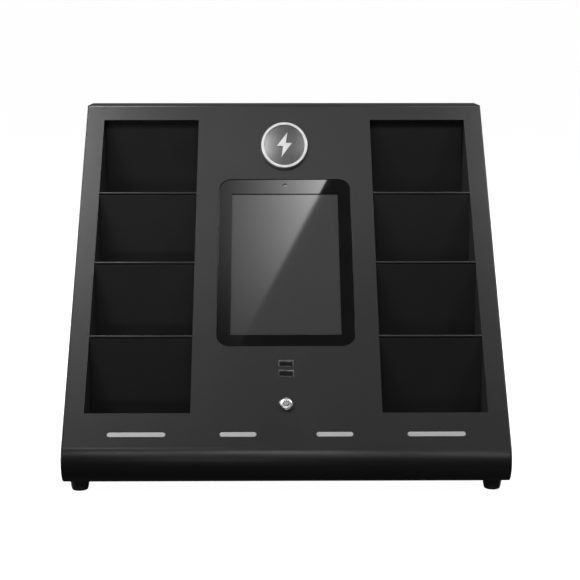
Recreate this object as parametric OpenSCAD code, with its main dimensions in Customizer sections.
// Desktop phone charging kiosk: a folded steel wedge with two columns of open phone bays,
// a portrait tablet, two charging sockets, a push button and four light bars on its face.
// Frame: X across, Y front to back, Z up; the origin is on the table under the middle of the box.

/* [Cabinet] */
// Overall width across the side panels
body_w = 415; // [410:1:430]
// Depth from the rolled nose to the rear edge
body_d = 328; // [324:1:340]
// Height from the table to the top surface
body_h = 347.5; // [346:0.5:352]
// Lean of the face back from the vertical, in degrees
lean = 42.3; // [41.5:0.1:42.5]
// Radius of the rolled nose at the foot of the face
nose_r = 21.5; // [20:0.5:23]
// Radius of the bend between the face and the top
top_bend_r = 4; // [3:0.5:5]
// Thickness of the cabinet sheet
sheet = 1.5; // [1.2:0.1:1.8]

/* [Phone bays] */
// Clear width of a bay
bay_w = 99; // [95:1:100]
// Distance of each column's middle from the centre plane
bay_x = 139.2; // [138:0.1:141]
// Distance along the face from one bay to the next
bay_pitch = 85.2; // [84:0.1:85.5]
// Distance up the face to the edge of the lowest pocket
bay_first = 34.7; // [33:0.1:35]
// Depth of a pocket below its front edge
pocket_h = 18; // [15:1:20]

/* [Tablet] */
// Width of the tablet
tablet_w = 134; // [130:0.5:136]
// Height of the tablet
tablet_h = 199.2; // [196:0.2:202]
// Distance up the face to the middle of the tablet
tablet_s = 207.7; // [206:0.1:209]
// Corner radius of the tablet
tablet_r = 13; // [10:0.5:15]
// Width of the lit screen
screen_w = 107.6; // [100:0.1:110]
// Height of the lit screen
screen_h = 167; // [160:0.5:170]

/* [Controls] */
// Distance up the face to the middle of the badge
badge_s = 350; // [348:0.5:350]
// Width of the badge
badge_w = 50.8; // [46:0.2:52]
// Height of the badge over its width
badge_ratio = 1.25; // [1:0.01:1.25]
// Distance up the face to the middle of the two sockets
usb_s = 83.8; // [82:0.1:85]
// Distance between the two sockets
usb_pitch = 10.9; // [10.5:0.1:12]
// Distance up the face to the push button
button_s = 44.6; // [43:0.1:46]
// Diameter of the push button's collar
button_d = 14; // [13.5:0.1:15]
// Travel of the push button
button_travel = 1.2; // [0.8:0.1:1.2]
// Distance up the face to the row of light bars
light_s = 13.4; // [13:0.1:14]

/* [Feet] */
// Height of a rubber foot
foot_h = 12.5; // [10:0.5:13]
// Diameter of a foot where it meets the cabinet
foot_d = 19.6; // [18:0.2:20]

/* [Service door] */
// Clear width of the opening behind the door
hatch_w = 280; // [270:2:280]
// Clear height of the opening behind the door
hatch_h = 180; // [160:2:180]
// Height of the opening's lower edge above the table
hatch_z = 122; // [118:1:126]

/* [Hidden] */

$fn = 48;
steel_black = [0.10, 0.10, 0.11];
tray_black = [0.06, 0.06, 0.065];
over = 1;                       // how far a cutting shape runs past a face
fitted_gap = 0.2;               // clearance round a part that is pushed into a cut-out

// Cabinet frame
rear_recess = 2;                // the rear panel sits this far inside the rear edge
knuckle_r = 2.5;
hinge_lift = 0.3;               // gap between the knuckles and the rear panel
hinge_out = 2 * knuckle_r + hinge_lift - rear_recess;
front_y = -(body_d + hinge_out) / 2;
rear_y = front_y + body_d;
nose_y = front_y + nose_r;
nose_z = foot_h + nose_r;
tangent_y = nose_y - nose_r * cos(lean);
tangent_z = nose_z + nose_r * sin(lean);
bend_z = body_h - top_bend_r;
bend_s = (bend_z - tangent_z + top_bend_r * sin(lean)) / cos(lean);
bend_y = tangent_y + bend_s * sin(lean) + top_bend_r * cos(lean);
inner_x = body_w / 2 - sheet;
floor_z = foot_h + sheet;       // upper surface of the base pan
strip_end_y = nose_y + 42;      // rear end of the shell's strip under the nose

// Rear wall and door
vent_w = 3;                     // width of every cooling slot
panel_vent_x = 90;
screw_r = 1.5;                  // shank of a panel screw
panel_y = rear_y - rear_recess;
door_lap = 8;                   // how far the door covers the panel round the opening
door_y = panel_y + sheet;       // outer surface of the closed door
door_x = hatch_w / 2 + door_lap;
hinge_gap = 3;                  // from the hinge axis to the edge of the door
hinge_x = -(door_x + hinge_gap);
hinge_y = panel_y + hinge_lift + knuckle_r;
hinge_pin_r = 1.2;
running_gap = 0.05;
hinge_z = hatch_z + 8;
hinge_len = hatch_h - 16;
knuckle_count = 9;
knuckle_len = hinge_len / knuckle_count;
knuckle_gap = 0.4;
leaf_t = 1;
leaf_w = 14;

// Cam lock
lock_x = hatch_w / 2 - 22;
lock_z = hatch_z + hatch_h / 2;
lock_plug_r = 6;
lock_barrel_r = 9;
lock_depth = 16;
lock_key_out = 1.6;             // how far the plug's face stands out of the door
lock_nut_h = 3.8;
cam_hub_r = 8;
cam_bore_r = 3;
cam_t = 2;
cam_reach = 28;
cam_w = 9;

// Bays
tray_t = 1.2;
hem_r = 1.3;                    // rolled safety edge on a pocket's front lip
bay_edge = bay_first + 1;       // lower edge of the opening in the face
bay_top = bay_first + 4 * bay_pitch + 9.2;
top_plate_gap = 15.4;           // the top bay's back stands this far behind the opening's edge
grommet_r = 5;
grommet_hole_r = 2.6;
cheek_t = 1.2;

// Tablet
glass_drop = 0.6;               // the glass sits this far below the face
glass_t = 1;
case_t = 8;
tablet_gap = 0.4;
screen_t = 1.3;
case_well = 7;                  // depth of the recess that holds the screen and battery
camera_r = 2.2;
screen_off = -1.1;              // the screen is a little below the tablet's middle
camera_off = 91.9;
case_z = -glass_drop - glass_t;  // front of the case, where the glass lies on it
bracket_z = case_z - case_t;
bracket_t = 1.2;
bracket_w = 160;
bracket_h = 214;
stud_x = 74.5;
stud_s = 102;
stud_r = 2;

// Face fittings
badge_base_h = 1.2;
badge_disc_h = 0.8;
led_board_z = -6;
usb_w = 14.2;
usb_h = 7.1;
usb_wall = 0.75;
usb_depth = 14;
button_flange_h = 1.8;
button_barrel_r = button_d / 2 - 1.05;
button_bore_depth = 8;
button_nut_h = 3;
button_cap_r = 5.1;
button_stem_r = 2.2;
cap_top = 3;
light_h = 5.1;
long_light_l = 54.2;
short_light_l = 34.2;
long_light_x = 139.1;
short_light_x = 44.8;

// Feet
foot_x = 194.5;
foot_front_y = nose_y + 15.5;
foot_rear_y = rear_y - 35;
foot_bottom_d = 15.6;
foot_hole_r = 2.1;
foot_recess_h = 5;

// Power entry
inlet_x = -122;
inlet_z = floor_z + 46;
switch_x = -84;
inlet_flange = [50, 2.5, 23];
inlet_body = [27, 22, 19.8];
inlet_mouth = [24.2, 16.4];
inlet_depth = 17;
inlet_screw_x = 20;
rocker_tilt = 9;
rocker_r = 9.6;
rocker_w = 12.6;
rocker_pin_r = 1.2;
rocker_y = panel_y - 1;
switch_flange = [18.5, 2, 25];
switch_body = [15, 18, 22];

// Power supply
psu_size = [160, 98, 40];
psu_lift = 4;
psu_y = rear_y - 34 - psu_size[1];

// ---------------------------------------------------------------- helpers

// A point on the face, s up from the nose and d in from the outer surface
function face_y(s, d = 0) = tangent_y + s * sin(lean) + d * cos(lean);
function face_z(s, d = 0) = tangent_z + s * cos(lean) - d * sin(lean);

// Extrudes a (Y, Z) outline along X
module along_x(x0, x1) {
    translate([x0, 0, 0]) rotate([90, 0, 90]) linear_extrude(x1 - x0) children();
}

// Places children on the face: X across, Y up the face, Z out of it
module at_face(s, x = 0) {
    translate([x, face_y(s), face_z(s)]) rotate([90 - lean, 0, 0]) children();
}

// Turns a shape built along +Z so that it points out of the rear
module facing_back(x, y, z) {
    translate([x, y, z]) rotate([-90, 0, 0]) children();
}

module box(low, high) {
    translate(low) cube(high - low);
}

module rounded_rect(w, h, r) {
    square([w, h - 2 * r], center = true);
    square([w - 2 * r, h], center = true);
    for (i = [-1, 1], j = [-1, 1])
        translate([i * (w / 2 - r), j * (h / 2 - r)]) circle(r);
}

module obround(length, height) {
    square([length - height, height], center = true);
    for (i = [-1, 1])
        translate([i * (length - height) / 2, 0]) circle(height / 2);
}

module oval(w) {
    scale([1, badge_ratio]) circle(w / 2, $fn = 96);
}

// A round wire through a list of points, with a slightly fuller ball at each turn
module lead(points, r) {
    for (i = [0 : len(points) - 2]) {
        step = points[i + 1] - points[i];
        run = norm(step);
        turn = atan2(step[1], step[0]);
        translate(points[i]) rotate([0, acos(step[2] / run), turn]) cylinder(run, r, r, $fn = 24);
    }
    for (i = [1 : len(points) - 2])
        translate(points[i]) sphere(r + 0.1, $fn = 24);
}

// A round-wire coil standing on z = 0
module coil(r, wire_r, height, turns) {
    sides = 8;
    per_turn = 16;
    last = turns * per_turn;
    rise = (height - 2 * wire_r) / last;
    points = [for (i = [0 : last], k = [0 : sides - 1])
        let (a = i * 360 / per_turn, b = k * 360 / sides, reach = r + wire_r * cos(b))
        [reach * cos(a), reach * sin(a), wire_r + i * rise + wire_r * sin(b)]];
    skin = [for (i = [0 : last - 1], k = [0 : sides - 1])
        let (a = i * sides + k, b = i * sides + (k + 1) % sides)
        [a, a + sides, b + sides, b]];
    start_cap = [[for (k = [0 : sides - 1]) k]];
    end_cap = [[for (k = [sides - 1 : -1 : 0]) last * sides + k]];
    polyhedron(points, concat(skin, start_cap, end_cap));
}

// ---------------------------------------------------------------- cabinet

// What a bend of radius r takes off a sharp corner; half is half the corner's angle
// and the corner points along +X from the bend's middle
module corner_trim(r, half) {
    reach = r / sin(half) + r;
    touch = [r * sin(half), r * cos(half)];
    difference() {
        polygon([[touch[0], -touch[1]], touch, [reach, reach], [reach, -reach]]);
        circle(r, $fn = 96);
    }
}

// The closed side outline, drawn in (Y, Z) and shrunk by inset
module side_outline(inset = 0, rear_extra = 0) {
    nose = nose_r - inset;
    bend = top_bend_r - inset;
    nose_half = (90 - lean) / 2;
    bend_half = (90 + lean) / 2;
    nose_dir = 180 + nose_half;
    bend_dir = 180 - bend_half;
    low_corner = [nose_y, nose_z] + nose / sin(nose_half) * [cos(nose_dir), sin(nose_dir)];
    high_corner = [bend_y, bend_z] + bend / sin(bend_half) * [cos(bend_dir), sin(bend_dir)];
    difference() {
        polygon([
            low_corner,
            high_corner,
            [rear_y + rear_extra, body_h - inset],
            [rear_y + rear_extra, foot_h + inset]
        ]);
        translate([nose_y, nose_z]) rotate(nose_dir) corner_trim(nose, nose_half);
        translate([bend_y, bend_z]) rotate(bend_dir) corner_trim(bend, bend_half);
    }
}

// Everything that is cut through the face
module face_cutouts() {
    depth = sheet + 2 * over;
    for (side = [-1, 1]) {
        at_face((bay_edge + bay_top) / 2, side * bay_x)
            translate([0, 0, -sheet / 2]) cube([bay_w, bay_top - bay_edge, depth], center = true);
        at_face(light_s, side * long_light_x)
            translate([0, 0, -depth + over]) linear_extrude(depth) obround(long_light_l, light_h);
        at_face(light_s, side * short_light_x)
            translate([0, 0, -depth + over]) linear_extrude(depth) obround(short_light_l, light_h);
        at_face(usb_s + side * usb_pitch / 2)
            translate([0, 0, -sheet / 2])
                cube([usb_w + fitted_gap, usb_h + fitted_gap, depth], center = true);
    }
    at_face(tablet_s)
        translate([0, 0, -depth + over]) linear_extrude(depth) rounded_rect(tablet_w, tablet_h, tablet_r);
    button_hole_r = button_barrel_r + fitted_gap / 2;
    at_face(button_s)
        translate([0, 0, -depth + over]) cylinder(depth, button_hole_r, button_hole_r);
}

module front_shell() {
    color(steel_black)
    difference() {
        along_x(-inner_x, inner_x)
            difference() {
                side_outline();
                side_outline(sheet, over);
                translate([strip_end_y, 0]) square([body_d, floor_z + over]);
            }
        face_cutouts();
        foot_holes(foot_front_y);
    }
}

module foot_holes(y) {
    for (side = [-1, 1])
        translate([side * foot_x, y, foot_h - over]) cylinder(sheet + 2 * over, foot_hole_r, foot_hole_r);
}

module side_panel(side) {
    color(steel_black)
    along_x(side > 0 ? inner_x : -body_w / 2, side > 0 ? body_w / 2 : -inner_x) side_outline();
}

// A centred row of cooling slots, each a box of the given size
module vent_row(count, pitch, size) {
    for (i = [0 : count - 1])
        translate([(i - (count - 1) / 2) * pitch, 0, 0]) cube(size, center = true);
}

module base_pan() {
    color(steel_black)
    difference() {
        box([-inner_x, strip_end_y, foot_h], [inner_x, rear_y, floor_z]);
        foot_holes(foot_rear_y);
        for (y = [-40, 60])
            translate([0, y, foot_h]) vent_row(20, 9, [vent_w, 46, 4 * sheet]);
    }
}

// The panel's screws stand in a column near each side, level with the door's clear edges
function panel_screw_spots() = [
    for (side = [-1, 1], z = [floor_z + 8, hatch_z - 17, hatch_z + 118, body_h - 14])
        [side * (inner_x - 10), z]
];

// A hole through the rear panel for a snap-in body
module body_hole(x, body) {
    translate([x, panel_y, inlet_z])
        cube([body[0] + 2 * fitted_gap, 4 * sheet, body[2] + 2 * fitted_gap], center = true);
}

module panel_screw_hole(x, z) {
    facing_back(x, panel_y - sheet - over, z) cylinder(sheet + 2 * over, screw_r + 0.1, screw_r + 0.1);
}

module rear_panel() {
    color(steel_black)
    difference() {
        box([-inner_x, panel_y - sheet, floor_z], [inner_x, panel_y, body_h - sheet]);
        box([-hatch_w / 2, panel_y - sheet - over, hatch_z],
            [hatch_w / 2, panel_y + over, hatch_z + hatch_h]);
        body_hole(inlet_x, inlet_body);
        body_hole(switch_x, switch_body);
        translate([panel_vent_x, panel_y, inlet_z]) vent_row(20, 8, [vent_w, 4 * sheet, 40]);
        for (spot = panel_screw_spots())
            panel_screw_hole(spot[0], spot[1]);
        for (side = [-1, 1])
            panel_screw_hole(inlet_x + side * inlet_screw_x, inlet_z);
    }
}

// ---------------------------------------------------------------- service door

module rear_door() {
    stiffener = 8;
    low_z = hatch_z + 2;
    high_z = hatch_z + hatch_h - 2;
    edge = hatch_w / 2 - 4;
    color(steel_black)
    difference() {
        union() {
            box([-door_x, panel_y, hatch_z - door_lap], [door_x, door_y, hatch_z + hatch_h + door_lap]);
            box([-edge, panel_y - stiffener, low_z], [edge, panel_y, low_z + sheet]);
            box([-edge, panel_y - stiffener, high_z - sheet], [edge, panel_y, high_z]);
        }
        facing_back(lock_x, panel_y - over, lock_z)
            cylinder(sheet + 2 * over, lock_barrel_r + 0.1, lock_barrel_r + 0.1);
        for (z = [hatch_z + 36, hatch_z + hatch_h - 36])
            translate([-18, door_y, z]) vent_row(22, 8, [vent_w, 4 * sheet, 34]);
    }
}

// Knuckles number first, first + 2, ... with a tab that reaches across to the leaf
module knuckles(first, tab_low, tab_high) {
    for (i = [first : 2 : knuckle_count - 1]) {
        z = hinge_z + i * knuckle_len;
        length = knuckle_len - knuckle_gap;
        translate([hinge_x, hinge_y, z]) cylinder(length, knuckle_r, knuckle_r);
        box([tab_low[0], tab_low[1], z], [tab_high[0], tab_high[1], z + length]);
    }
}

module hinge_bore() {
    translate([hinge_x, hinge_y, hinge_z - over])
        cylinder(hinge_len + 2 * over, hinge_pin_r + running_gap, hinge_pin_r + running_gap);
}

module hinge_frame_leaf() {
    color("silver")
    difference() {
        union() {
            knuckles(0, [hinge_x - leaf_w, panel_y], [hinge_x - 0.6, panel_y + leaf_t]);
            box([hinge_x - leaf_w, panel_y, hinge_z],
                [hinge_x - hinge_gap, panel_y + leaf_t, hinge_z + hinge_len - knuckle_gap]);
        }
        hinge_bore();
    }
}

module hinge_door_leaf() {
    color("silver")
    difference() {
        union() {
            knuckles(1, [hinge_x + 1.8, door_y], [hinge_x + leaf_w, door_y + leaf_t]);
            box([hinge_x + hinge_gap, door_y, hinge_z],
                [hinge_x + leaf_w, door_y + leaf_t, hinge_z + hinge_len - knuckle_gap]);
        }
        hinge_bore();
    }
}

module hinge_pin() {
    color("dimgray")
    translate([hinge_x, hinge_y, hinge_z - 0.5]) cylinder(hinge_len + 0.6, hinge_pin_r, hinge_pin_r);
}

// ---------------------------------------------------------------- cam lock

module lock_body() {
    flange_r = 11;
    flange_t = 2;
    color("silver")
    difference() {
        union() {
            facing_back(lock_x, door_y, lock_z) cylinder(flange_t, flange_r, flange_r - 0.6);
            facing_back(lock_x, door_y - lock_depth, lock_z)
                cylinder(lock_depth, lock_barrel_r, lock_barrel_r);
        }
        facing_back(lock_x, door_y - lock_depth - over, lock_z)
            cylinder(lock_depth + 8, lock_plug_r + running_gap, lock_plug_r + running_gap);
    }
}

module lock_plug() {
    key_w = 2;
    key_h = 7.6;
    key_depth = 7;
    tail_l = 5;
    front = door_y + lock_key_out;
    back = door_y - lock_depth - 0.3;
    color("gainsboro")
    difference() {
        union() {
            facing_back(lock_x, back, lock_z) cylinder(front - back, lock_plug_r, lock_plug_r);
            facing_back(lock_x, door_y - lock_depth - tail_l, lock_z)
                cylinder(tail_l, cam_bore_r, cam_bore_r);
        }
        box([lock_x - key_w / 2, front - key_depth, lock_z - key_h / 2],
            [lock_x + key_w / 2, front + over, lock_z + key_h / 2]);
    }
}

module lock_nut() {
    color("silver")
    difference() {
        facing_back(lock_x, panel_y - lock_nut_h - 0.2, lock_z)
            cylinder(lock_nut_h, lock_barrel_r + 3, lock_barrel_r + 3, $fn = 6);
        facing_back(lock_x, panel_y - lock_nut_h - over, lock_z)
            cylinder(lock_nut_h + 2 * over, lock_barrel_r, lock_barrel_r);
    }
}

// Cranked cam: the hub is behind the barrel, the finger runs just behind the rear panel
module lock_cam() {
    hub_y = door_y - lock_depth - 0.5;
    finger_y = panel_y - sheet - 1;
    crank = 14;
    color("darkgray")
    difference() {
        union() {
            facing_back(lock_x, hub_y - cam_t, lock_z) cylinder(cam_t, cam_hub_r, cam_hub_r);
            box([lock_x - cam_w / 2, hub_y - cam_t, lock_z - crank], [lock_x + cam_w / 2, hub_y, lock_z]);
            box([lock_x - cam_w / 2, hub_y - cam_t, lock_z - crank - cam_t],
                [lock_x + cam_w / 2, finger_y, lock_z - crank]);
            box([lock_x - cam_w / 2, finger_y - cam_t, lock_z - cam_reach],
                [lock_x + cam_w / 2, finger_y, lock_z - crank]);
        }
        facing_back(lock_x, hub_y - cam_t - over, lock_z)
            cylinder(cam_t + 2 * over, cam_bore_r, cam_bore_r);
    }
}

// ---------------------------------------------------------------- phone bays

// Trays are numbered 1 at the top to 4 at the bottom; hem_* is the middle of a tray's rolled lip
function lip_s(n) = bay_first + (4 - n) * bay_pitch;
function lip_in(n) = n == 4 ? sheet + hem_r + 0.3 : hem_r + 0.2;
function hem_y(n) = face_y(lip_s(n), lip_in(n));
function hem_z(n) = face_z(lip_s(n), lip_in(n));
function pocket_z(n) = hem_z(n) - pocket_h;
function plate_y(n) = n == 1 ? face_y(bay_top) + top_plate_gap : hem_y(n - 1) - hem_r;
function plate_top(n) = n == 1 ? face_z(bay_top) + 5 : hem_z(n - 1) - hem_r - 0.1;
function grommet_y(n) = plate_y(n) - 12;

module tray_outline(n) {
    lip = hem_y(n) + hem_r - tray_t;
    translate([lip, pocket_z(n) - tray_t]) square([tray_t, pocket_h + tray_t]);
    translate([lip, pocket_z(n) - tray_t]) square([plate_y(n) + tray_t - lip, tray_t]);
    translate([plate_y(n), pocket_z(n) - tray_t]) square([tray_t, plate_top(n) - pocket_z(n) + tray_t]);
    translate([hem_y(n), hem_z(n)]) circle(hem_r, $fn = 24);
}

module tray(side, n) {
    color(tray_black)
    difference() {
        along_x(side * bay_x - bay_w / 2, side * bay_x + bay_w / 2) tray_outline(n);
        translate([side * bay_x, grommet_y(n), pocket_z(n) - 2 * tray_t])
            cylinder(3 * tray_t, grommet_r, grommet_r);
    }
}

// A rubber ring in each tray's floor, where a charging lead would come up
module tray_grommets() {
    rim_r = grommet_r + 1.5;
    rim_t = 1.2;
    low = -tray_t - rim_t;
    color([0.03, 0.03, 0.03])
    for (side = [-1, 1], n = [1 : 4])
        translate([side * bay_x, grommet_y(n), pocket_z(n)])
            difference() {
                union() {
                    cylinder(rim_t, rim_r, rim_r - 0.5);
                    translate([0, 0, -tray_t]) cylinder(tray_t, grommet_r, grommet_r);
                    translate([0, 0, low]) cylinder(rim_t, rim_r - 0.5, rim_r);
                }
                translate([0, 0, low - over])
                    cylinder(rim_t - low + 2 * over, grommet_hole_r, grommet_hole_r);
            }
}

// The plate beside a column of trays, flush with the opening's edge
module cheek(side, edge) {
    x = side * bay_x + edge * (bay_w / 2 + cheek_t / 2);
    low_s = 26;
    high_s = bay_top + 6;
    back_y = plate_y(1) + tray_t + 2;
    slope_run = 86;
    low_z = pocket_z(4) - 8;
    back_low_y = face_y(low_s, sheet) + slope_run;
    back_low_z = face_z(low_s, sheet);
    color(tray_black)
    along_x(x - cheek_t / 2, x + cheek_t / 2)
        polygon([
            [face_y(low_s, sheet), face_z(low_s, sheet)],
            [face_y(high_s, sheet), face_z(high_s, sheet)],
            [back_y, face_z(high_s, sheet)],
            [back_y, back_low_z + (back_y - back_low_y) / tan(lean)],
            [back_low_y, back_low_z],
            [back_low_y, low_z],
            [face_y(low_s, sheet) + 3, low_z]
        ]);
}

// ---------------------------------------------------------------- tablet

module tablet_layer(z, t) {
    at_face(tablet_s) translate([0, 0, z]) linear_extrude(t)
        rounded_rect(tablet_w - 2 * tablet_gap, tablet_h - 2 * tablet_gap, tablet_r - tablet_gap);
}

module tablet_glass() {
    color([0.05, 0.05, 0.06, 0.5])
    tablet_layer(case_z, glass_t);
}

module tablet_screen() {
    color([0.25, 0.26, 0.27])
    at_face(tablet_s + screen_off)
        translate([0, 0, case_z - screen_t / 2]) cube([screen_w, screen_h, screen_t], center = true);
}

module tablet_case() {
    color([0.04, 0.04, 0.045])
    difference() {
        tablet_layer(case_z - case_t, case_t);
        at_face(tablet_s + screen_off)
            translate([0, 0, case_z - case_well / 2])
                cube([screen_w + 2 * fitted_gap, screen_h + 2 * fitted_gap, case_well], center = true);
        at_face(tablet_s + camera_off)
            translate([0, 0, case_z - 3]) cylinder(4, camera_r + fitted_gap, camera_r + fitted_gap);
    }
}

module tablet_camera() {
    color([0.02, 0.02, 0.03])
    at_face(tablet_s + camera_off) translate([0, 0, case_z - 2.9]) cylinder(2.8, camera_r, camera_r);
}

module tablet_battery() {
    color("dimgray")
    at_face(tablet_s) translate([0, 0, case_z - 4.8]) cube([92, 120, 4], center = true);
}

module tablet_bracket() {
    color("darkgray")
    at_face(tablet_s) translate([0, 0, bracket_z - bracket_t])
        difference() {
            linear_extrude(bracket_t) rounded_rect(bracket_w, bracket_h, 6);
            translate([0, 0, -over]) linear_extrude(bracket_t + 2 * over) rounded_rect(84, 140, 10);
            for (i = [-1, 1], j = [-1, 1])
                translate([i * stud_x, j * stud_s, -over])
                    cylinder(bracket_t + 2 * over, stud_r + 0.1, stud_r + 0.1);
        }
}

// Weld studs behind the face and the nuts that hold the bracket
module bracket_studs() {
    nut_h = 3.2;
    nut_z = bracket_z - bracket_t - nut_h;
    stud_end = nut_z - 2;
    color("silver")
    at_face(tablet_s)
        for (i = [-1, 1], j = [-1, 1])
            translate([i * stud_x, j * stud_s, 0]) {
                translate([0, 0, stud_end]) cylinder(-sheet - stud_end, stud_r, stud_r);
                translate([0, 0, nut_z]) cylinder(nut_h, 2 * stud_r, 2 * stud_r, $fn = 6);
            }
}

// ---------------------------------------------------------------- badge

module badge_base() {
    color([0.02, 0.02, 0.02])
    at_face(badge_s) linear_extrude(badge_base_h) oval(badge_w);
}

module badge_ring() {
    color("gainsboro")
    at_face(badge_s) translate([0, 0, badge_base_h]) linear_extrude(1.8)
        difference() {
            oval(badge_w - 3);
            oval(badge_w - 8.8);
        }
}

module badge_disc() {
    color("gray")
    at_face(badge_s) translate([0, 0, badge_base_h]) linear_extrude(badge_disc_h) oval(badge_w - 9);
}

// A plain lightning bolt, the general sign for charging
module badge_emblem() {
    color("white")
    at_face(badge_s) translate([0, 0, badge_base_h + badge_disc_h])
        linear_extrude(0.8) scale([1, badge_ratio])
            polygon([[3.2, 13], [-8, -1.6], [-1.4, -1.6], [-3.2, -13], [8, 1.6], [1.4, 1.6]]);
}

// ---------------------------------------------------------------- charging sockets

module usb_shells() {
    color("silver")
    for (side = [-1, 1])
        at_face(usb_s + side * usb_pitch / 2)
            difference() {
                translate([0, 0, -usb_depth / 2]) cube([usb_w, usb_h, usb_depth], center = true);
                translate([0, 0, -usb_depth / 2 + usb_wall])
                    cube([usb_w - 2 * usb_wall, usb_h - 2 * usb_wall, usb_depth], center = true);
            }
}

module usb_tongues() {
    tongue = [11.2, 1.9, 9.5];
    color([0.05, 0.05, 0.05])
    for (side = [-1, 1])
        at_face(usb_s + side * usb_pitch / 2)
            translate([0, 1.2, -usb_depth + usb_wall + tongue[2] / 2]) cube(tongue, center = true);
}

module usb_board() {
    color("darkgreen")
    at_face(usb_s) translate([0, 0, -usb_depth - 0.8]) cube([40, 30, 1.6], center = true);
}

// ---------------------------------------------------------------- push button

module button_body() {
    collar_r = button_d / 2;
    barrel_l = 20;
    floor_t = 4;
    color("silver")
    at_face(button_s)
        difference() {
            union() {
                cylinder(button_flange_h, collar_r, collar_r - 0.7);
                translate([0, 0, -barrel_l]) cylinder(barrel_l, button_barrel_r, button_barrel_r);
            }
            translate([0, 0, -button_bore_depth])
                cylinder(button_bore_depth + 5, button_cap_r + running_gap, button_cap_r + running_gap);
            translate([0, 0, -barrel_l + floor_t])
                cylinder(barrel_l, button_stem_r + running_gap, button_stem_r + running_gap);
        }
}

module button_cap() {
    dome_h = 0.7;
    dome_r = (button_cap_r * button_cap_r + dome_h * dome_h) / (2 * dome_h);
    color("gainsboro")
    at_face(button_s) {
        translate([0, 0, -2.5]) cylinder(2.5 + cap_top - dome_h, button_cap_r, button_cap_r);
        translate([0, 0, -12]) cylinder(10, button_stem_r, button_stem_r);
        intersection() {
            translate([0, 0, cap_top - dome_r]) sphere(dome_r, $fn = 96);
            translate([0, 0, cap_top - dome_h - 0.2]) cylinder(2, button_cap_r, button_cap_r);
        }
    }
}

module button_spring() {
    color("silver")
    at_face(button_s) translate([0, 0, -button_bore_depth + 0.05]) coil(3.6, 0.35, 5.4, 4);
}

module button_nut() {
    color("silver")
    at_face(button_s) translate([0, 0, -sheet - button_nut_h])
        difference() {
            cylinder(button_nut_h, button_barrel_r + 3, button_barrel_r + 3, $fn = 6);
            translate([0, 0, -over])
                cylinder(button_nut_h + 2 * over, button_barrel_r, button_barrel_r);
        }
}

// ---------------------------------------------------------------- light bars

// A frosted bar that fills its slot and has a wider flange behind the sheet
module light_bars(x, length) {
    color([0.8, 0.82, 0.84])
    for (side = [-1, 1])
        at_face(light_s, side * x) {
            translate([0, 0, -sheet - 0.1]) linear_extrude(sheet) obround(length - 0.2, light_h - 0.2);
            translate([0, 0, -sheet - 1.2]) linear_extrude(1.2) obround(length + 5, light_h + 4);
        }
}

// A group of lamp chips on the strip, reach chips to each side of the middle one
module led_chips(x, reach) {
    pitch = 10;
    for (i = [-reach : reach])
        translate([x + i * pitch, 0, led_board_z + 0.4]) cube([3.5, 2.8, 1], center = true);
}

module led_strip() {
    board = [346, 9, 1.6];
    post_x = 84;
    color("white")
    at_face(light_s) {
        translate([0, 0, led_board_z - board[2] / 2]) cube(board, center = true);
        for (i = [-1 : 1])
            translate([i * post_x, 0, led_board_z - 0.1]) cylinder(-led_board_z + 0.1 - sheet, 2, 2);
        for (side = [-1, 1]) {
            led_chips(side * long_light_x, 2);
            led_chips(side * short_light_x, 1);
        }
    }
}

// ---------------------------------------------------------------- feet

module foot(side, y) {
    recess_r = 4.4;
    color([0.05, 0.05, 0.05])
    translate([side * foot_x, y, 0])
        difference() {
            cylinder(foot_h, foot_bottom_d / 2, foot_d / 2);
            translate([0, 0, -over]) cylinder(foot_recess_h + over, recess_r, recess_r);
            cylinder(foot_h + over, foot_hole_r, foot_hole_r);
        }
}

module foot_screws() {
    head_r = 3.8;
    head_h = 2.6;
    shank_r = 1.95;
    shank_z = foot_recess_h - 0.1;
    shank_end = floor_z + 5;
    color("silver")
    for (side = [-1, 1], y = [foot_front_y, foot_rear_y])
        translate([side * foot_x, y, 0]) {
            translate([0, 0, foot_recess_h - head_h]) cylinder(head_h, head_r - 0.6, head_r);
            translate([0, 0, shank_z]) cylinder(shank_end - shank_z, shank_r, shank_r);
            translate([0, 0, floor_z]) cylinder(3.2, 4, 4, $fn = 6);
        }
}

// ---------------------------------------------------------------- power entry

module power_inlet() {
    mouth_y = panel_y + inlet_flange[1] - inlet_depth;
    color([0.03, 0.03, 0.03])
    difference() {
        union() {
            box([inlet_x - inlet_flange[0] / 2, panel_y, inlet_z - inlet_flange[2] / 2],
                [inlet_x + inlet_flange[0] / 2, panel_y + inlet_flange[1], inlet_z + inlet_flange[2] / 2]);
            box([inlet_x - inlet_body[0] / 2, panel_y - inlet_body[1], inlet_z - inlet_body[2] / 2],
                [inlet_x + inlet_body[0] / 2, panel_y, inlet_z + inlet_body[2] / 2]);
        }
        box([inlet_x - inlet_mouth[0] / 2, mouth_y, inlet_z - inlet_mouth[1] / 2],
            [inlet_x + inlet_mouth[0] / 2, panel_y + inlet_flange[1] + over, inlet_z + inlet_mouth[1] / 2]);
        for (side = [-1, 1])
            facing_back(inlet_x + side * inlet_screw_x, panel_y - over, inlet_z)
                cylinder(inlet_flange[1] + 2 * over, screw_r + fitted_gap, screw_r + fitted_gap);
    }
}

module inlet_pins() {
    tip_in = 6;
    pin = [2, inlet_depth - tip_in, 4];
    color("silver")
    for (spot = [[-7, -2], [0, 2], [7, -2]])
        translate([inlet_x + spot[0], panel_y + inlet_flange[1] - tip_in - pin[1] / 2, inlet_z + spot[1]])
            cube(pin, center = true);
}

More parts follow.
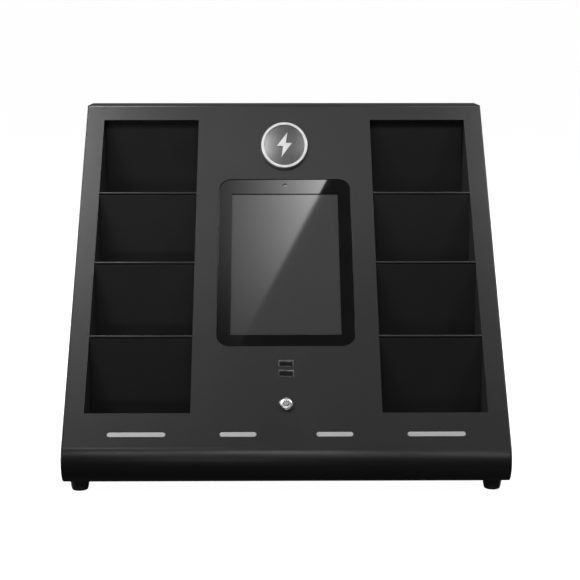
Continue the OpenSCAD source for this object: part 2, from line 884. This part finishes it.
module switch_housing() {
    wall = 1;
    half_x = switch_body[0] / 2 - wall;
    half_z = rocker_r + 0.3;
    cavity = 8;
    pivot_r = rocker_pin_r + running_gap;
    flange_y = panel_y + switch_flange[1];
    color([0.03, 0.03, 0.03])
    difference() {
        union() {
            box([switch_x - switch_flange[0] / 2, panel_y, inlet_z - switch_flange[2] / 2],
                [switch_x + switch_flange[0] / 2, flange_y, inlet_z + switch_flange[2] / 2]);
            box([switch_x - switch_body[0] / 2, panel_y - switch_body[1], inlet_z - switch_body[2] / 2],
                [switch_x + switch_body[0] / 2, panel_y, inlet_z + switch_body[2] / 2]);
        }
        box([switch_x - half_x, panel_y - cavity, inlet_z - half_z],
            [switch_x + half_x, flange_y + over, inlet_z + half_z]);
        translate([switch_x, rocker_y, inlet_z]) rotate([0, 90, 0])
            cylinder(switch_body[0] + over, pivot_r, pivot_r, center = true);
    }
}

// Drawn in its off position, tilted about the pivot that runs along X
module switch_rocker() {
    hub = 3;
    crest = 4.2;
    color([0.05, 0.05, 0.05])
    translate([switch_x, rocker_y, inlet_z]) rotate([-rocker_tilt, 0, 0]) {
        along_x(-rocker_w / 2, rocker_w / 2)
            intersection() {
                circle(rocker_r, $fn = 64);
                polygon([
                    [-hub, -rocker_r],
                    [-hub, rocker_r],
                    [crest, rocker_r],
                    [hub, 0],
                    [crest, -rocker_r]
                ]);
            }
        rotate([0, 90, 0]) cylinder(switch_body[0] - 0.4, rocker_pin_r, rocker_pin_r, center = true);
    }
}

// ---------------------------------------------------------------- inside

module power_supply() {
    half = psu_size[0] / 2;
    low = floor_z + psu_lift;
    rail_half_w = 6;
    color("lightgray")
    union() {
        box([-half, psu_y, low], [half, psu_y + psu_size[1], low + psu_size[2]]);
        for (x = [16 - half, half - 16])
            box([x - rail_half_w, psu_y + 8, floor_z], [x + rail_half_w, psu_y + psu_size[1] - 8, low]);
    }
}

// A board on four posts, with a coil and an output socket for each of the eight bays
module charger_board() {
    board = [190, 74, 1.6];
    post_h = 8;
    bays = 8;
    bay_step = 22;
    coil_h = 9;
    coil_r = 6;
    socket = [14, 14, 6];
    top = floor_z + post_h + board[2];
    board_y = strip_end_y + 14;
    color("darkgreen")
    union() {
        box([-board[0] / 2, board_y, floor_z + post_h], [board[0] / 2, board_y + board[1], top]);
        for (i = [0 : bays - 1])
            translate([(i - (bays - 1) / 2) * bay_step, board_y, top - 0.1]) {
                translate([0, 22, 0]) cylinder(coil_h, coil_r, coil_r);
                translate([-socket[0] / 2, 50, 0]) cube(socket);
            }
        for (i = [-1, 1], j = [8, board[1] - 8])
            translate([i * (board[0] / 2 - 6), board_y + j, floor_z]) cylinder(post_h, 3, 3);
    }
}

// Mains leads from the inlet and the switch to the supply, and low-voltage leads to the board
// and the tablet
module wiring_harness() {
    inlet_back = panel_y - inlet_body[1];
    switch_back = panel_y - switch_body[1];
    supply_z = floor_z + 24;
    supply_x = -psu_size[0] / 2;
    board_y = strip_end_y + 88;
    inlet_turn_y = inlet_back - 14;
    switch_turn_y = switch_back - 7;
    switch_drop_x = switch_x - 18;
    output_x = 30;
    tablet_y = face_y(tablet_s - 50, -bracket_z);
    tablet_z = face_z(tablet_s - 50, -bracket_z + 8);
    color([0.15, 0.15, 0.16]) {
        lead([
            [inlet_x, inlet_back, inlet_z],
            [inlet_x, inlet_turn_y, inlet_z],
            [inlet_x, inlet_turn_y, supply_z],
            [supply_x, inlet_turn_y, supply_z]
        ], 3);
        lead([
            [switch_x, switch_back, inlet_z],
            [switch_x, switch_turn_y, inlet_z],
            [switch_drop_x, switch_turn_y, inlet_z],
            [switch_drop_x, switch_turn_y, supply_z + 14],
            [switch_drop_x, psu_y + 50, supply_z + 14],
            [supply_x, psu_y + 50, supply_z + 14]
        ], 2.5);
        lead([
            [output_x, psu_y, supply_z],
            [output_x, board_y + 14, supply_z],
            [output_x, board_y + 14, floor_z + 9],
            [output_x, board_y, floor_z + 9]
        ], 3);
        lead([
            [-output_x, psu_y, supply_z],
            [-output_x, psu_y - 12, supply_z],
            [-output_x, psu_y - 12, tablet_z],
            [-output_x, tablet_y, tablet_z]
        ], 2.5);
    }
}

// A screw from behind: its head sits grip in front of the shank's end
module panel_screw(x, z, grip, head) {
    facing_back(x, panel_y - sheet - 4, z) {
        cylinder(grip + 0.1, screw_r, screw_r);
        translate([0, 0, grip]) cylinder(head[2], head[0], head[1]);
    }
}

module panel_screws() {
    reach = sheet + 4;
    color("silver") {
        for (spot = panel_screw_spots())
            panel_screw(spot[0], spot[1], reach, [3.2, 2.6, 1.7]);
        for (side = [-1, 1])
            panel_screw(inlet_x + side * inlet_screw_x, inlet_z, reach + inlet_flange[1], [3, 2.2, 1.2]);
    }
}

// ---------------------------------------------------------------- output

front_shell();
side_panel(-1);  // left_side_panel
side_panel(1);  // right_side_panel
base_pan();
rear_panel();
rear_door();
hinge_frame_leaf();
hinge_door_leaf();
hinge_pin();
lock_body();
lock_plug();
lock_cam();
lock_nut();
tray(-1, 1);  // left_tray_1
tray(-1, 2);  // left_tray_2
tray(-1, 3);  // left_tray_3
tray(-1, 4);  // left_tray_4
tray(1, 1);  // right_tray_1
tray(1, 2);  // right_tray_2
tray(1, 3);  // right_tray_3
tray(1, 4);  // right_tray_4
cheek(-1, -1);  // left_outer_cheek
cheek(-1, 1);  // left_inner_cheek
cheek(1, -1);  // right_inner_cheek
cheek(1, 1);  // right_outer_cheek
tray_grommets();
tablet_glass();
tablet_screen();
tablet_case();
tablet_camera();
tablet_battery();
tablet_bracket();
bracket_studs();
badge_base();
badge_ring();
badge_disc();
badge_emblem();
usb_shells();
usb_tongues();
usb_board();
button_body();
button_cap();
button_spring();
button_nut();
light_bars(long_light_x, long_light_l);  // long_light_bars
light_bars(short_light_x, short_light_l);  // short_light_bars
led_strip();
foot(-1, foot_front_y);  // front_left_foot
foot(1, foot_front_y);  // front_right_foot
foot(-1, foot_rear_y);  // rear_left_foot
foot(1, foot_rear_y);  // rear_right_foot
foot_screws();
power_inlet();
inlet_pins();
switch_housing();
switch_rocker();
power_supply();
charger_board();
wiring_harness();
panel_screws();
